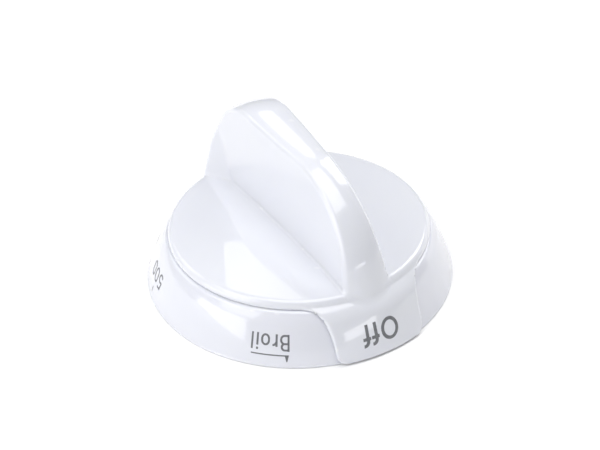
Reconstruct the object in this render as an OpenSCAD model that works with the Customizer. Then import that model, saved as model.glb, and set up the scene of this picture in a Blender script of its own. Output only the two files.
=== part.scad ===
/* [Dial skirt] */
// How far the skirt's foot stands out beyond the disc's edge
skirt_flare = 5.5; // [4.5:0.1:7]
// Height of the skirt's top edge above the foot
skirt_h = 11.4; // [11:0.1:12.5]
// How far below the top edge the straight flank ends
flank_end = 2.9; // [2.5:0.1:4]
// How much steeper the flank is than a straight line from foot to top, in degrees
flank_bow = 3.7; // [2:0.1:5]
// Wall of the skirt
skirt_wall = 2; // [1.6:0.1:2.4]
// Height of the upright band round the foot
foot_band = 0.6; // [0.4:0.1:1]
// Rounding of the foot's edges
foot_round = 0.35; // [0.2:0.05:0.6]
// How far the web's upper face, which the screw bosses press on, lies below the top edge
web_drop = 2.95; // [2.6:0.05:3.2]
// Thickness of the web
web_t = 1.9; // [1.5:0.1:2.2]
// Teeth of the calibration scale on each side of its middle
scale_teeth = 3; // [2:1:4]
// Angle from one tooth of the scale to the next
scale_step = 5; // [4:0.5:5]
// Length of a scale tooth
tooth_len = 2.6; // [1.5:0.1:3]
// Width of a scale tooth
tooth_w = 0.7; // [0.5:0.1:0.9]
// Height of a scale tooth
tooth_h = 0.6; // [0.3:0.1:0.9]
// Spare travel of the slots past the last tooth, in degrees
slot_spare = 1; // [0.5:0.5:2]

/* [Front disc] */
// Diameter of the disc that carries the grip
disc_d = 59; // [56:0.5:61]
// How far the disc's face at its edge stands above the skirt's top edge
edge_rise = 2.1; // [1.9:0.05:2.6]
// Rounding of the disc's edge
disc_round = 1.25; // [0.8:0.05:1.4]
// How far the face rises from its edge to its middle
disc_crown = 1; // [0.5:0.1:1.6]
// Wall of the disc
disc_wall = 2.2; // [1.8:0.1:2.4]
// How far the lip under the disc stands in from the disc's edge
lip_inset = 1.4; // [1.2:0.1:1.8]
// Wall of the lip
lip_wall = 1.3; // [1:0.1:1.6]
// How far the lip reaches below the disc's edge
lip_depth = 1.4; // [1:0.1:1.5]
// Stiffening ribs under the disc
rib_count = 6; // [4:2:8]
// Thickness of a rib
rib_t = 1.2; // [0.8:0.1:1.6]
// Gap between a rib and the web below it
rib_gap = 0.7; // [0.5:0.1:1]

/* [Off pad] */
// Width of the pad
pad_w = 21.8; // [18:0.2:25]
// Thickness of the pad
pad_t = 0.85; // [0.7:0.05:1.2]
// Clearance between the pad and the skirt that turns under it
pad_gap = 0.25; // [0.2:0.05:0.4]
// Fillet in plan between the pad's sides and the disc's edge
pad_fillet = 5; // [2:0.1:6]
// Rounding of the pad's lower corners
pad_corner = 2; // [1:0.1:3]
// How far below the skirt's top edge the pad's straight face ends
pad_flank_end = 2.5; // [2:0.1:3.4]
// How far the pad's root stands above the underside of the disc's edge
pad_root = 0.65; // [0.5:0.05:0.8]
// Height of the pad's lower edge above the foot
pad_foot = 0.4; // [0.3:0.1:1]

/* [Grip] */
// How far the foot of the grip's near end reaches over the pad, beyond the disc's edge
near_over = 1; // [0.5:0.1:1.5]
// Lean of the near end, in degrees
near_lean = 18.4; // [14:0.2:20]
// Rounding of the near end in side view
near_round = 25; // [18:0.5:27]
// How far the foot of the grip's far end stands in from the disc's edge
far_inset = 0.3; // [0.2:0.1:1.5]
// Lean of the far end, in degrees
far_lean = 1; // [0.5:0.1:3]
// Rounding of the far end in side view
far_round = 16.5; // [12:0.5:17.5]
// Height of the grip's top above the disc's edge, over the axis
grip_rise = 22.3; // [18:0.1:25]
// Rise of the top towards the far end, in degrees
top_rise = 4.4; // [1:0.2:5]
// Thickness of the grip at its foot
grip_foot_w = 11; // [10:0.2:12]
// Draft of each side over most of the length, in degrees
side_draft = 4.8; // [3:0.1:5.5]
// Draft of each side at the far end, in degrees
far_draft = 0.4; // [0.2:0.1:3]
// Where along the grip the draft starts to change
draft_from = -18; // [-22:1:-6]
// Where along the grip it has changed
draft_to = 13; // [12:1:18]
// Length of the far flare at the foot
far_flare_len = 8.8; // [6:0.2:10]
// How fast the far flare widens along the grip
far_flare_rate = 0.48; // [0.3:0.01:0.6]
// How fast the far flare narrows with height
far_flare_fall = 0.266; // [0.22:0.002:0.35]
// Length of the near flare
near_flare_len = 5.5; // [4:0.5:8]
// How fast the near flare widens along the grip
near_flare_rate = 0.15; // [0.05:0.01:0.25]
// Crown of the grip's top across its width
top_crown = 0.6; // [0.3:0.05:0.9]
// Crown of the near end across its width
near_crown = 1.8; // [1.2:0.1:2.4]
// Crown of the far end across its width
far_crown = 0.6; // [0.4:0.1:1.2]
// Rounding between the grip's sides and its rim
grip_round = 0.9; // [0.6:0.05:1]
// Wall of the hollow grip
grip_wall = 1.8; // [1.5:0.1:2]

/* [Hub] */
// Outer diameter of the hub
hub_d = 11; // [10:0.1:12]
// Height of the hub's end above the foot
hub_z = 1.5; // [1:0.1:2.5]
// Diameter of the shaft that the hub takes
shaft_d = 6.35; // [6:0.05:6.5]
// Clearance on the shaft's diameter in the mouth of the bore
shaft_gap = 0.1; // [0.05:0.05:0.2]
// Clearance on the shaft's diameter in the flatted part of the bore
hold_gap = 0.02; // [0.01:0.01:0.04]
// Length of the round mouth of the bore
mouth_len = 4; // [3:0.5:5]
// Length of the relief between the mouth and the flatted part
relief_len = 0.8; // [0.6:0.1:1.5]
// Depth of that relief
relief_depth = 0.25; // [0.2:0.05:0.35]
// Whole depth of the bore
bore_depth = 17; // [14:0.5:19]
// Thickness of the flatted shaft, from its flat to its round side
shaft_flat = 4.75; // [4.4:0.05:5.2]
// Width of the two slots that let the hub's end give
hub_slot_w = 1.2; // [0.8:0.1:1.6]
// Length of those slots
hub_slot_len = 7.5; // [6.5:0.5:9]
// Outer diameter of the collar that the skirt turns on
collar_d = 26; // [24:0.5:27]
// Wall of the collar
collar_wall = 1.6; // [1.2:0.1:2]

/* [Clip] */
// Thickness of the spring band round the hub
clip_t = 0.6; // [0.4:0.1:0.8]
// Width of the spring band
clip_w = 4; // [3:0.5:4.5]
// Height of the band's lower edge above the hub's end
clip_lift = 1.2; // [0.8:0.1:1.5]
// Depth of the groove that the band sits in
clip_seat = 0.35; // [0.2:0.05:0.5]
// Angle that the band leaves open, in degrees
clip_open = 50; // [30:5:90]

/* [Clamp] */
// Distance of each screw's axis from the collar
screw_out = 4; // [3.6:0.1:4.5]
// Diameter of the screw's thread
screw_d = 3.5; // [3:0.1:3.8]
// Depth of the screw in its boss
screw_grip = 3.9; // [3:0.1:4]
// Diameter of the screw's head
head_d = 6.6; // [6:0.1:7]
// Height of the screw's head
head_h = 2.2; // [1.8:0.1:2.4]
// Outer diameter of a screw boss
boss_d = 7; // [6:0.1:7]
// Thickness of the clamp plate
plate_t = 1.2; // [0.8:0.1:1.5]
// How far the clamp plate reaches beyond the screws' axes
plate_rim = 4.5; // [4:0.1:5]
// Length of the plate's pointer
pointer_len = 2.7; // [2:0.1:3]
// Width of the pointer where it leaves the plate
pointer_w = 6; // [4:0.5:8]
// Width of the pointer's tip
pointer_tip = 1; // [0.6:0.1:1.4]
// Room between the plate and the spring band round the hub
plate_room = 2; // [1.5:0.1:2.5]
// Length of the screw's tapered tip
tip_len = 0.8; // [0.5:0.1:1]
// Width of the screw's cross recess
recess_w = 1.1; // [0.8:0.1:1.3]
// Length of the cross recess
recess_len = 3.8; // [3:0.1:4]
// Depth of the cross recess
recess_h = 1.3; // [1:0.1:1.4]

/* [Fits] */
// Gap between the disc's edge and the top of the skirt
seam_gap = 0.3; // [0.2:0.05:0.5]
// Clearance between round faces that turn on each other
turn_gap = 0.3; // [0.2:0.05:0.4]
// Gap between flat faces that slide on each other
slide_gap = 0.05; // [0.02:0.01:0.1]
// Clearance around parts that stay put
still_gap = 0.05; // [0.02:0.01:0.1]

/* [Hidden] */
$fn = 96;

// Radii of the disc and of the skirt's foot and top edge
disc_r = disc_d / 2;
skirt_r = disc_r + skirt_flare;
skirt_top_r = disc_r + seam_gap;

// The skirt's flank: a straight stretch, then an arc that meets the top edge
chord_a = atan2(skirt_r - skirt_top_r, skirt_h);
flank_a = chord_a - flank_bow;
ARC_STEPS = 10;

// How far cuts run past the solid, and how far pieces of one moulding run into each other
CUT = 1;
WELD = 0.5;

// Point at height z of the flank moved outwards by d
function flank_at(d, z) = [skirt_r + d / cos(flank_a) - z * tan(flank_a), z];

// The arc that leaves the flank at p and ends at q, as [centre, radius, angle where it ends]
function shoulder(p, q) =
    let (chord = p - q, half = atan2(chord.x, -chord.y) - flank_a, r = norm(chord) / (2 * sin(half)))
    [p - r * [cos(flank_a), sin(flank_a)], r, flank_a + 2 * half];

// Points of such an arc moved outwards by d, from angle a0 to angle a1
function arc_points(arc, d, a0, a1) =
    [for (i = [0 : ARC_STEPS]) let (a = a0 + (a1 - a0) * i / ARC_STEPS)
        arc[0] + (arc[1] + d) * [cos(a), sin(a)]];
function arc_angle_at_z(arc, d, z) = asin((z - arc[0].y) / (arc[1] + d));
function arc_angle_at_r(arc, d, r) = acos((r - arc[0].x) / (arc[1] + d));

skirt_arc = shoulder(flank_at(0, skirt_h - flank_end), [skirt_top_r, skirt_h]);

// Heights in the front
rim_z = skirt_h + seam_gap;
pad_sink = 0.3;
pad_out = pad_gap + pad_t;
pad_reach = skirt_r + pad_out + CUT;
pad_arc = shoulder(flank_at(pad_out, skirt_h - pad_flank_end), [disc_r - pad_sink, rim_z + pad_root]);
lip_r = disc_r - lip_inset;
lip_z = rim_z - lip_depth;
hollow_r = lip_r - lip_wall;
face_r = disc_r - disc_round;
disc_edge_z = skirt_h + edge_rise;
CROWN_STEPS = 12;
function face_z(r) = disc_edge_z + disc_crown * (1 - pow(r / face_r, 2));

// The clamp's stack, from the boss face down
web_z = skirt_h - web_drop;
boss_z = web_z + slide_gap;
plate_z = web_z - web_t - slide_gap;
collar_z = plate_z + slide_gap;
collar_r = collar_d / 2;
screw_pitch = collar_r + screw_out;
plate_r = screw_pitch + plate_rim;
pointer_reach = plate_r + pointer_len;
throat_r = lip_r + turn_gap;
turn_each_way = scale_teeth * scale_step;
pilot_d = screw_d + 2 * still_gap;

// The hub
bore_d = shaft_d + shaft_gap;
flat_y = shaft_flat - shaft_d / 2 + hold_gap / 2;
seat_r = hub_d / 2 - clip_seat;

// The grip's rim in side view, as [y, z, inward y, inward z] from the near foot to the far foot
grip_z = rim_z + seam_gap;
grip_top = disc_edge_z + grip_rise;
grip_sink = 0.2;
near_tan = [sin(near_lean), cos(near_lean)];
top_tan = [cos(top_rise), sin(top_rise)];
far_tan = [sin(far_lean), -cos(far_lean)];
function cross2(a, b) = a.x * b.y - a.y * b.x;
function meet(p, t, q, u) = p + t * cross2(q - p, u) / cross2(t, u);
near_reach = disc_r + near_over;
far_reach = disc_r - far_inset;
near_foot = [-near_reach, grip_z];
far_foot = [far_reach, grip_z];
near_corner = meet(near_foot, near_tan, [0, grip_top], top_tan);
far_corner = meet(far_foot, far_tan, [0, grip_top], top_tan);
near_turn = 90 - near_lean - top_rise;
far_turn = 90 + top_rise - far_lean;
near_cut = near_round * tan(near_turn / 2);
far_cut = far_round * tan(far_turn / 2);
near_start = near_corner - near_cut * near_tan;
top_start = near_corner + near_cut * top_tan;
top_end = far_corner - far_cut * top_tan;
far_end = far_corner + far_cut * far_tan;
function inward(t) = [t.y, -t.x];
function line_stations(p, q, t, n) =
    [for (i = [0 : n - 1]) concat(p + (q - p) * i / n, inward(t))];
function turn_stations(p, t, r, turn, n) =
    let (c = p + r * inward(t))
    [for (i = [0 : n - 1]) let (a = turn * i / n, m = [inward(t).x * cos(a) + inward(t).y * sin(a),
        inward(t).y * cos(a) - inward(t).x * sin(a)]) concat(c - r * m, m)];
rim_line = concat(
    line_stations(near_foot, near_start, near_tan, 3),
    turn_stations(near_start, near_tan, near_round, near_turn, 11),
    line_stations(top_start, top_end, top_tan, 4),
    turn_stations(top_end, top_tan, far_round, far_turn, 11),
    line_stations(far_end, far_foot, far_tan, 3),
    [concat(far_foot, inward(far_tan))]);

// Half thickness of the grip at any place on its sides
function ease(a, b, v) = let (t = max(0, min(1, (v - a) / (b - a)))) t * t * (3 - 2 * t);
function side_x(y, z) =
    let (up = z - disc_edge_z)
    let (draft = tan(side_draft) + (tan(far_draft) - tan(side_draft)) * ease(draft_from, draft_to, y))
    let (flat = grip_foot_w / 2 - up * draft)
    let (far_extra = far_flare_rate * (y - far_reach + far_flare_len) - far_flare_fall * up)
    let (near_extra = near_flare_rate * (-y - near_reach + near_flare_len))
    flat + max(0, far_extra + up * draft) + max(0, near_extra);

// Crown of the rim at a station, larger towards each foot
function crown_at(s) =
    let (low = pow(1 - min(1, (s[1] - grip_z) / (grip_top - grip_z)), 1.5))
    top_crown + low * ((s[0] < 0 ? near_crown : far_crown) - top_crown);

CROWN_SIDE = 3;
SIDE_STEPS = 6;
// One section of the grip: up the left side, over the rim, down the right side
function grip_section(s) =
    let (c = crown_at(s), e = grip_round)
    let (rim = [s[0], s[1]], n = [s[2], s[3]])
    let (n2 = [n.x, n.y * ease(0.25, 0.6, abs(n.y))])
    let (deep = rim + (c + e) * n2, mid = rim + (c + 0.3 * e) * n2)
    let (w = side_x(deep.x, deep.y), low = grip_z - grip_sink)
    let (half = concat(
        [for (i = [0 : SIDE_STEPS]) let (z = low + (deep.y - low) * i / SIDE_STEPS)
            [side_x(deep.x, z), deep.x, z]],
        [[w - 0.3 * e, mid.x, mid.y]],
        [for (i = [CROWN_SIDE : -1 : 1]) let (t = i / CROWN_SIDE, p = rim + c * t * t * n2)
            [t * (w - e), p.x, p.y]]))
    concat([for (p = half) [-p.x, p.y, p.z]], [[0, rim.x, rim.y]],
        [for (i = [len(half) - 1 : -1 : 0]) half[i]]);

// The grip as one closed mesh
module grip_solid() {
    sections = [for (s = rim_line) grip_section(s)];
    m = len(sections[0]);
    k = len(sections);
    points = [for (s = sections) for (p = s) p];
    skin = [for (i = [0 : k - 2]) for (j = [0 : m - 1])
        let (a = i * m + j, b = i * m + (j + 1) % m)
        for (t = [[a, b + m, b], [a, a + m, b + m]]) t];
    mid = (m - 1) / 2;
    last = (k - 1) * m;
    around = [for (j = [0 : m - 1]) if (j != mid && (j + 1) % m != mid) [j, (j + 1) % m]];
    near_cap = [for (e = around) [mid, e[0], e[1]]];
    far_cap = [for (e = around) [last + mid, last + e[1], last + e[0]]];
    polyhedron(points, concat(skin, near_cap, far_cap), convexity = 6);
}

// The hollow inside the grip: its side view moved inwards, tapered like its sides
module grip_hollow() {
    low_w = grip_foot_w / 2 - grip_wall;
    top_w = low_w - (grip_top - disc_edge_z) * tan(side_draft);
    intersection() {
        rotate([90, 0, 90]) linear_extrude(grip_foot_w, center = true) polygon(concat(
            [for (s = rim_line) let (d = grip_wall + crown_at(s)) [s[0] + d * s[2], s[1] + d * s[3]]],
            [[rim_line[len(rim_line) - 1][0] - grip_wall - far_crown, lip_z],
             [rim_line[0][0] + grip_wall + near_crown, lip_z]]));
        rotate([90, 0, 0]) linear_extrude(2 * near_reach, center = true) polygon([
            [-low_w, lip_z - CUT], [low_w, lip_z - CUT], [low_w, disc_edge_z],
            [top_w, grip_top], [-top_w, grip_top], [-low_w, disc_edge_z]]);
    }
}

// Outline of the disc before it is hollowed, by radius and height
module disc_outline() {
    polygon(concat(
        [[0, lip_z], [0, face_z(0)]],
        [for (i = [1 : CROWN_STEPS]) let (r = face_r * i / CROWN_STEPS) [r, face_z(r)]],
        [for (i = [1 : 6]) let (a = 90 - 15 * i)
            [face_r + disc_round * cos(a), disc_edge_z - disc_round + disc_round * sin(a)]],
        [[disc_r, rim_z], [lip_r, rim_z], [lip_r, lip_z]]));
}

// Outline of the hollow under the disc
module hollow_outline() {
    polygon(concat(
        [[0, lip_z - CUT]],
        [for (i = [0 : CROWN_STEPS]) let (r = hollow_r * i / CROWN_STEPS) [r, face_z(r) - disc_wall]],
        [[hollow_r, lip_z - CUT]]));
}

// Outline of the pad, which follows the skirt's outer surface
module pad_outline() {
    foot_r = 0.45 * pad_t;
    polygon(concat(
        [flank_at(pad_gap, pad_foot), flank_at(pad_out - foot_r, pad_foot),
         flank_at(pad_out, pad_foot + foot_r)],
        arc_points(pad_arc, 0, flank_a, pad_arc[2]),
        [[disc_r - pad_sink, rim_z]],
        arc_points(skirt_arc, pad_gap, arc_angle_at_z(skirt_arc, pad_gap, rim_z), flank_a)));
}

// The pad's outline in plan, with filleted roots
module pad_plan() {
    half = pad_w / 2;
    root = disc_r + pad_fillet;
    root_x = half + pad_fillet;
    root_y = sqrt(root * root - root_x * root_x);
    inner = disc_r / root;
    difference() {
        union() {
            translate([-half, -pad_reach]) square([pad_w, pad_reach]);
            polygon([[-root_x, -root_y], [root_x, -root_y],
                [root_x * inner, CUT - root_y * inner], [-root_x * inner, CUT - root_y * inner]]);
        }
        for (side = [-1, 1]) translate([side * root_x, -root_y]) circle(pad_fillet);
    }
}

// What is cut off the pad's lower corners, seen from its front
module pad_corners() {
    for (side = [-1, 1]) translate([side * (pad_w / 2 - pad_corner), pad_foot + pad_corner]) difference() {
        translate([side > 0 ? 0 : -pad_corner - CUT, -pad_corner - CUT]) square(pad_corner + CUT);
        circle(pad_corner);
    }
}

module pad() {
    difference() {
        intersection() {
            rotate_extrude() pad_outline();
            linear_extrude(disc_edge_z) pad_plan();
        }
        rotate([90, 0, 0]) linear_extrude(pad_reach) pad_corners();
    }
}

// Hub, collar, bosses and ribs under the disc
module inner_works() {
    rib_z = web_z + rib_gap;
    difference() {
        union() {
            translate([0, 0, hub_z]) cylinder(d = hub_d, h = face_z(0) - disc_wall + WELD - hub_z);
            translate([0, 0, collar_z]) difference() {
                cylinder(r = collar_r, h = face_z(collar_r) - disc_wall + WELD - collar_z);
                translate([0, 0, -CUT]) cylinder(r = collar_r - collar_wall, h = disc_edge_z);
            }
            for (side = [-1, 1]) translate([side * screw_pitch, 0, boss_z])
                cylinder(d = boss_d, h = face_z(screw_pitch) - disc_wall + WELD - boss_z);
            for (i = [0 : rib_count - 1]) rotate(360 * (i + 0.5) / rib_count)
                translate([collar_r - WELD, -rib_t / 2, rib_z])
                cube([hollow_r - collar_r + 2 * WELD, rib_t, face_z(hollow_r) - disc_wall + WELD - rib_z]);
        }
        translate([0, 0, hub_z + clip_lift - still_gap]) difference() {
            cylinder(d = hub_d + 2 * CUT, h = clip_w + 2 * still_gap);
            translate([0, 0, -CUT]) cylinder(r = seat_r, h = clip_w + 3 * CUT);
        }
        translate([-hub_d, -hub_slot_w / 2, hub_z - CUT]) cube([2 * hub_d, hub_slot_w, hub_slot_len + CUT]);
    }
}

// The bore for the shaft: a round mouth, a relief, then a round with one flat
module shaft_bore() {
    translate([0, 0, hub_z - CUT]) cylinder(d = bore_d, h = mouth_len + CUT);
    translate([0, 0, hub_z + mouth_len]) cylinder(d = bore_d + 2 * relief_depth, h = relief_len);
    intersection() {
        translate([0, 0, hub_z]) cylinder(d = shaft_d + hold_gap, h = bore_depth);
        translate([-bore_d, -bore_d, hub_z]) cube([2 * bore_d, bore_d + flat_y, bore_depth]);
    }
}

module front() {
    color("white") difference() {
        union() {
            difference() {
                union() {
                    rotate_extrude() disc_outline();
                    pad();
                    grip_solid();
                }
                rotate_extrude() hollow_outline();
                difference() {
                    grip_hollow();
                    translate([0, 0, hub_z]) cylinder(d = hub_d, h = bore_depth + grip_wall);
                }
            }
            inner_works();
        }
        shaft_bore();
        for (side = [-1, 1]) translate([side * screw_pitch, 0, boss_z - CUT])
            cylinder(d = pilot_d, h = screw_grip + still_gap + CUT);
    }
}

// Outline of the skirt by radius and height
module skirt_outline() {
    polygon(concat(
        [flank_at(-skirt_wall + foot_round, 0), [skirt_r - foot_round, 0], [skirt_r, foot_round],
         [skirt_r, foot_band], flank_at(0, foot_band + foot_round)],
        arc_points(skirt_arc, 0, flank_a, skirt_arc[2]),
        [[throat_r, skirt_h]],
        arc_points(skirt_arc, -skirt_wall, arc_angle_at_r(skirt_arc, -skirt_wall, throat_r), flank_a),
        [flank_at(-skirt_wall, foot_round)]));
}

// An arc slot in plan, centred on +X
function polar(r, a) = r * [cos(a), sin(a)];
module arc_slot(r, w, half_a) {
    polygon(concat(
        [for (i = [-8 : 8]) polar(r + w / 2, half_a * i / 8)],
        [for (i = [1 : 7]) polar(r, half_a) + polar(w / 2, half_a + 180 * i / 8)],
        [for (i = [8 : -1 : -8]) polar(r - w / 2, half_a * i / 8)],
        [for (i = [1 : 7]) polar(r, -half_a) + polar(w / 2, 180 - half_a + 180 * i / 8)]));
}

module dial_skirt() {
    slot_w = screw_d + 2 * turn_gap;
    color("whitesmoke") {
        rotate_extrude() skirt_outline();
        translate([0, 0, web_z - web_t]) linear_extrude(web_t) difference() {
            circle(flank_at(-skirt_wall / 2, web_z).x);
            circle(collar_r + turn_gap);
            for (turn = [0, 180]) rotate(turn) arc_slot(screw_pitch, slot_w, turn_each_way + slot_spare);
        }
        for (i = [-scale_teeth : scale_teeth]) rotate(90 + i * scale_step)
            translate([pointer_reach + turn_gap, -tooth_w / 2, web_z - web_t - tooth_h])
            cube([tooth_len, tooth_w, tooth_h + WELD]);
    }
}

module clamp_plate() {
    hole_r = hub_d / 2 + clip_t + plate_room;
    color("silver") translate([0, 0, plate_z - plate_t]) linear_extrude(plate_t) difference() {
        union() {
            circle(plate_r);
            polygon([[-pointer_w / 2, plate_r - CUT], [pointer_w / 2, plate_r - CUT],
                [pointer_tip / 2, pointer_reach], [-pointer_tip / 2, pointer_reach]]);
        }
        circle(hole_r);
        for (side = [-1, 1]) translate([side * screw_pitch, 0]) circle(d = pilot_d);
    }
}

// A pan head screw with a cross recess, its head downwards
module screw() {
    seat = plate_z - plate_t;
    head_r = head_d / 2;
    head_z = seat - head_h;
    tip_z = boss_z + screw_grip - tip_len;
    color("silver") difference() {
        union() {
            translate([0, 0, seat]) cylinder(d = screw_d, h = tip_z - seat);
            translate([0, 0, tip_z]) cylinder(d1 = screw_d, d2 = screw_d / 2, h = tip_len);
            rotate_extrude() polygon(concat([[0, seat], [0, head_z]],
                [for (a = [75 : -15 : 0])
                    [head_r * pow(cos(a), 0.6), seat - head_h * (0.25 + 0.75 * sin(a))]],
                [[head_r, seat]]));
        }
        for (turn = [0, 90]) rotate(turn)
            translate([-recess_len / 2, -recess_w / 2, head_z - CUT])
            cube([recess_len, recess_w, recess_h + CUT]);
    }
}

module screw_left() {
    translate([-screw_pitch, 0, 0]) screw();
}

module screw_right() {
    translate([screw_pitch, 0, 0]) screw();
}

module shaft_clip() {
    inner = seat_r + still_gap;
    color("silver") translate([0, 0, hub_z + clip_lift]) linear_extrude(clip_w) difference() {
        circle(inner + clip_t);
        circle(inner);
        polygon([[0, 0], hub_d * [sin(clip_open / 2), cos(clip_open / 2)],
            hub_d * [-sin(clip_open / 2), cos(clip_open / 2)]]);
    }
}

front();
dial_skirt();
clamp_plate();
screw_left();
screw_right();
shaft_clip();
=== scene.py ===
import math

import bpy
import numpy as np
from mathutils import Matrix, Vector


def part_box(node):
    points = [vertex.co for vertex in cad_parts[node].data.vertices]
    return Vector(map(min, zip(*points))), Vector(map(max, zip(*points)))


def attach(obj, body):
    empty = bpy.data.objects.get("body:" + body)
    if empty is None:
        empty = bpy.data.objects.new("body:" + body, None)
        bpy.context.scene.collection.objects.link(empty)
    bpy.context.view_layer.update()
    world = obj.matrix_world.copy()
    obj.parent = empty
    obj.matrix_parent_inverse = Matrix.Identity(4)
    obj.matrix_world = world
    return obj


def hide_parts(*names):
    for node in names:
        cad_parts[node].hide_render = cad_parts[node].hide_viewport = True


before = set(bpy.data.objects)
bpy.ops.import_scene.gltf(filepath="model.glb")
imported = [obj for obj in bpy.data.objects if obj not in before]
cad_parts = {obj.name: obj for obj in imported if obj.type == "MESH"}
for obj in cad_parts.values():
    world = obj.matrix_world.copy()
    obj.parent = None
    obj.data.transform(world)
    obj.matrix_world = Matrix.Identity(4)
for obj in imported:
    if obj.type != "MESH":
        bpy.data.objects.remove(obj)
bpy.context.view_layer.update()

MM = 0.001


def corners(node):
    """Lowest and highest corner of a CAD node, in millimetres."""
    low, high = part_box(node)
    return np.array(low) / MM, np.array(high) / MM


skirt_low, skirt_high = corners("dial_skirt")
front_low, front_high = corners("front")
plate_low, plate_high = corners("clamp_plate")
clip_low, clip_high = corners("shaft_clip")
screw_low, screw_high = corners("screw_right")

# Dial skirt, in millimetres
SKIRT_R = skirt_high[0]
SKIRT_H = skirt_high[2]
SKIRT_WALL = 2.0
SKIRT_TOP_R = 29.8
FLANK_H = SKIRT_H - 2.9
FLANK_BOW = math.radians(3.7)
FOOT_BAND = 0.6
THROAT_R = 28.4
WEB_Z = SKIRT_H - 2.95
WEB_T = 1.9
WEB_HOLE_R = 13.3
SLOT_W = 4.1
SLOT_HALF = math.radians(16)
SCALE_TEETH = 3
SCALE_STEP = math.radians(5)
TOOTH_IN = 24.5
TOOTH_LEN = 2.6
TOOTH_W = 0.7
TOOTH_H = 0.6

# Front disc
DISC_R = 29.5
DISC_EDGE_Z = SKIRT_H + 2.1
DISC_ROUND = 1.25
DISC_CROWN = 1.0
DISC_WALL = 2.2
FACE_R = DISC_R - DISC_ROUND
RIM_Z = SKIRT_H + 0.3
LIP_R = 28.1
LIP_Z = RIM_Z - 1.4
HOLLOW_R = 26.8
RIB_COUNT = 6
RIB_T = 1.2
RIB_Z = WEB_Z + 0.7

# Off pad
PAD_W = 21.8
PAD_GAP = 0.25
SEAM_CLOSE = 0.24
SEAM_ROUND = 0.4
PAD_OUT = 1.05
PAD_FILLET = 5.0
PAD_CORNER = 2.0
PAD_FLANK_H = SKIRT_H - 2.5
PAD_ROOT = (DISC_R - 0.3, RIM_Z + 0.65)
PAD_FOOT = front_low[2]
PAD_EDGE = 0.38
PAD_STEP = 0.6

# Grip
GRIP_Z = RIM_Z + 0.3
GRIP_BASE = RIM_Z + 0.1
GRIP_SINK = 0.9
GRIP_TOP = DISC_EDGE_Z + 22.25
NEAR_Y = -DISC_R - 1
NEAR_LEAN = math.radians(18.4)
NEAR_ROUND = 25.0
FAR_Y = DISC_R - 0.3
FAR_LEAN = math.radians(1)
FAR_ROUND = 16.5
TOP_RISE = math.radians(4.4)
GRIP_HALF = 5.5
SIDE_DRAFT = math.radians(4.8)
FAR_DRAFT = math.radians(0.4)
DRAFT_FROM = -18.0
DRAFT_TO = 13.0
FAR_FLARE_Y = FAR_Y - 8.8
FAR_FLARE_RATE = 0.48
FAR_FLARE_FALL = 0.266
NEAR_FLARE_Y = -NEAR_Y - 5.5
NEAR_FLARE_RATE = 0.15
TOP_CROWN = 0.6
NEAR_CROWN = 1.8
FAR_CROWN = 0.6
GRIP_ROUND = 0.95
GRIP_WALL = 1.8
GRIP_FILLET = 0.55

# Hub and what the screws hold
HUB_R = 5.5
HUB_Z = 1.5
BORE_R = 3.225
HOLD_R = 3.185
MOUTH_TOP = HUB_Z + 4
RELIEF_R = BORE_R + 0.25
RELIEF_TOP = MOUTH_TOP + 0.8
BORE_TOP = HUB_Z + 17
FLAT_Y = 1.585
HUB_SLOT_W = 1.2
HUB_SLOT_TOP = HUB_Z + 7.5
HUB_SEAT_R = 5.15
COLLAR_R = 13.0
COLLAR_WALL = 1.6
PLATE_Z = plate_low[2]
PLATE_TOP = plate_high[2]
PLATE_R = plate_high[0]
PLATE_HOLE_R = 8.1
POINTER_REACH = plate_high[1]
BOSS_Z = 8.5
BOSS_R = 3.5
PILOT_R = 1.8
PILOT_TOP = 12.45
SCREW_X = (screw_low[0] + screw_high[0]) / 2
SCREW_R = 1.75
HEAD_R = (screw_high[0] - screw_low[0]) / 2


def both(a, b, radius=0.0):
    """What two solids share, with the edge rounded."""
    if radius == 0:
        return np.maximum(a, b)
    beyond = np.hypot(np.maximum(a + radius, 0), np.maximum(b + radius, 0))
    return np.minimum(-radius, np.maximum(a, b)) + beyond


def either(a, b, radius=0.0):
    """Two solids together, with the corner between them filleted."""
    return -both(-a, -b, radius)


def ease(low, high, value):
    t = np.clip((value - low) / (high - low), 0, 1)
    return t * t * (3 - 2 * t)


def soft_above_zero(value, width):
    """The value where it is positive, else zero, with a soft turn between the two."""
    return (value + np.hypot(value, width) - width) / 2


# The flank is bowed a little: an arc of a large circle, then a shoulder
CHORD_A = math.atan2(SKIRT_R - SKIRT_TOP_R, SKIRT_H) - FLANK_BOW
FLANK_SWING = math.radians(3.4)
FLANK_R = FLANK_H / math.cos(CHORD_A) / (2 * math.sin(FLANK_SWING))
FLANK_MID_R = SKIRT_R - FLANK_R * math.cos(CHORD_A - FLANK_SWING)
FLANK_MID_Z = -FLANK_R * math.sin(CHORD_A - FLANK_SWING)


def flank_lean(out, z):
    """How far the flank's normal points up at height z."""
    return np.arcsin((z - FLANK_MID_Z) / (FLANK_R + out))


def flank_r(out, z):
    """Radius at height z of the flank moved outwards."""
    return FLANK_MID_R + (FLANK_R + out) * np.cos(flank_lean(out, z))


def shoulder(out, height, end):
    """The arc that leaves the flank at that height and goes through end: its middle, radius and first lean."""
    start = (flank_r(out, height), height)
    lean = flank_lean(out, height)
    chord = (start[0] - end[0], end[1] - start[1])
    half = math.atan2(*chord) - lean
    radius = math.hypot(*chord) / (2 * math.sin(half))
    return start[0] - radius * math.cos(lean), start[1] - radius * math.sin(lean), radius, lean


SKIRT_ARC = shoulder(0, FLANK_H, (SKIRT_TOP_R, SKIRT_H))
PAD_ARC = shoulder(PAD_OUT, PAD_FLANK_H, PAD_ROOT)


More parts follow.
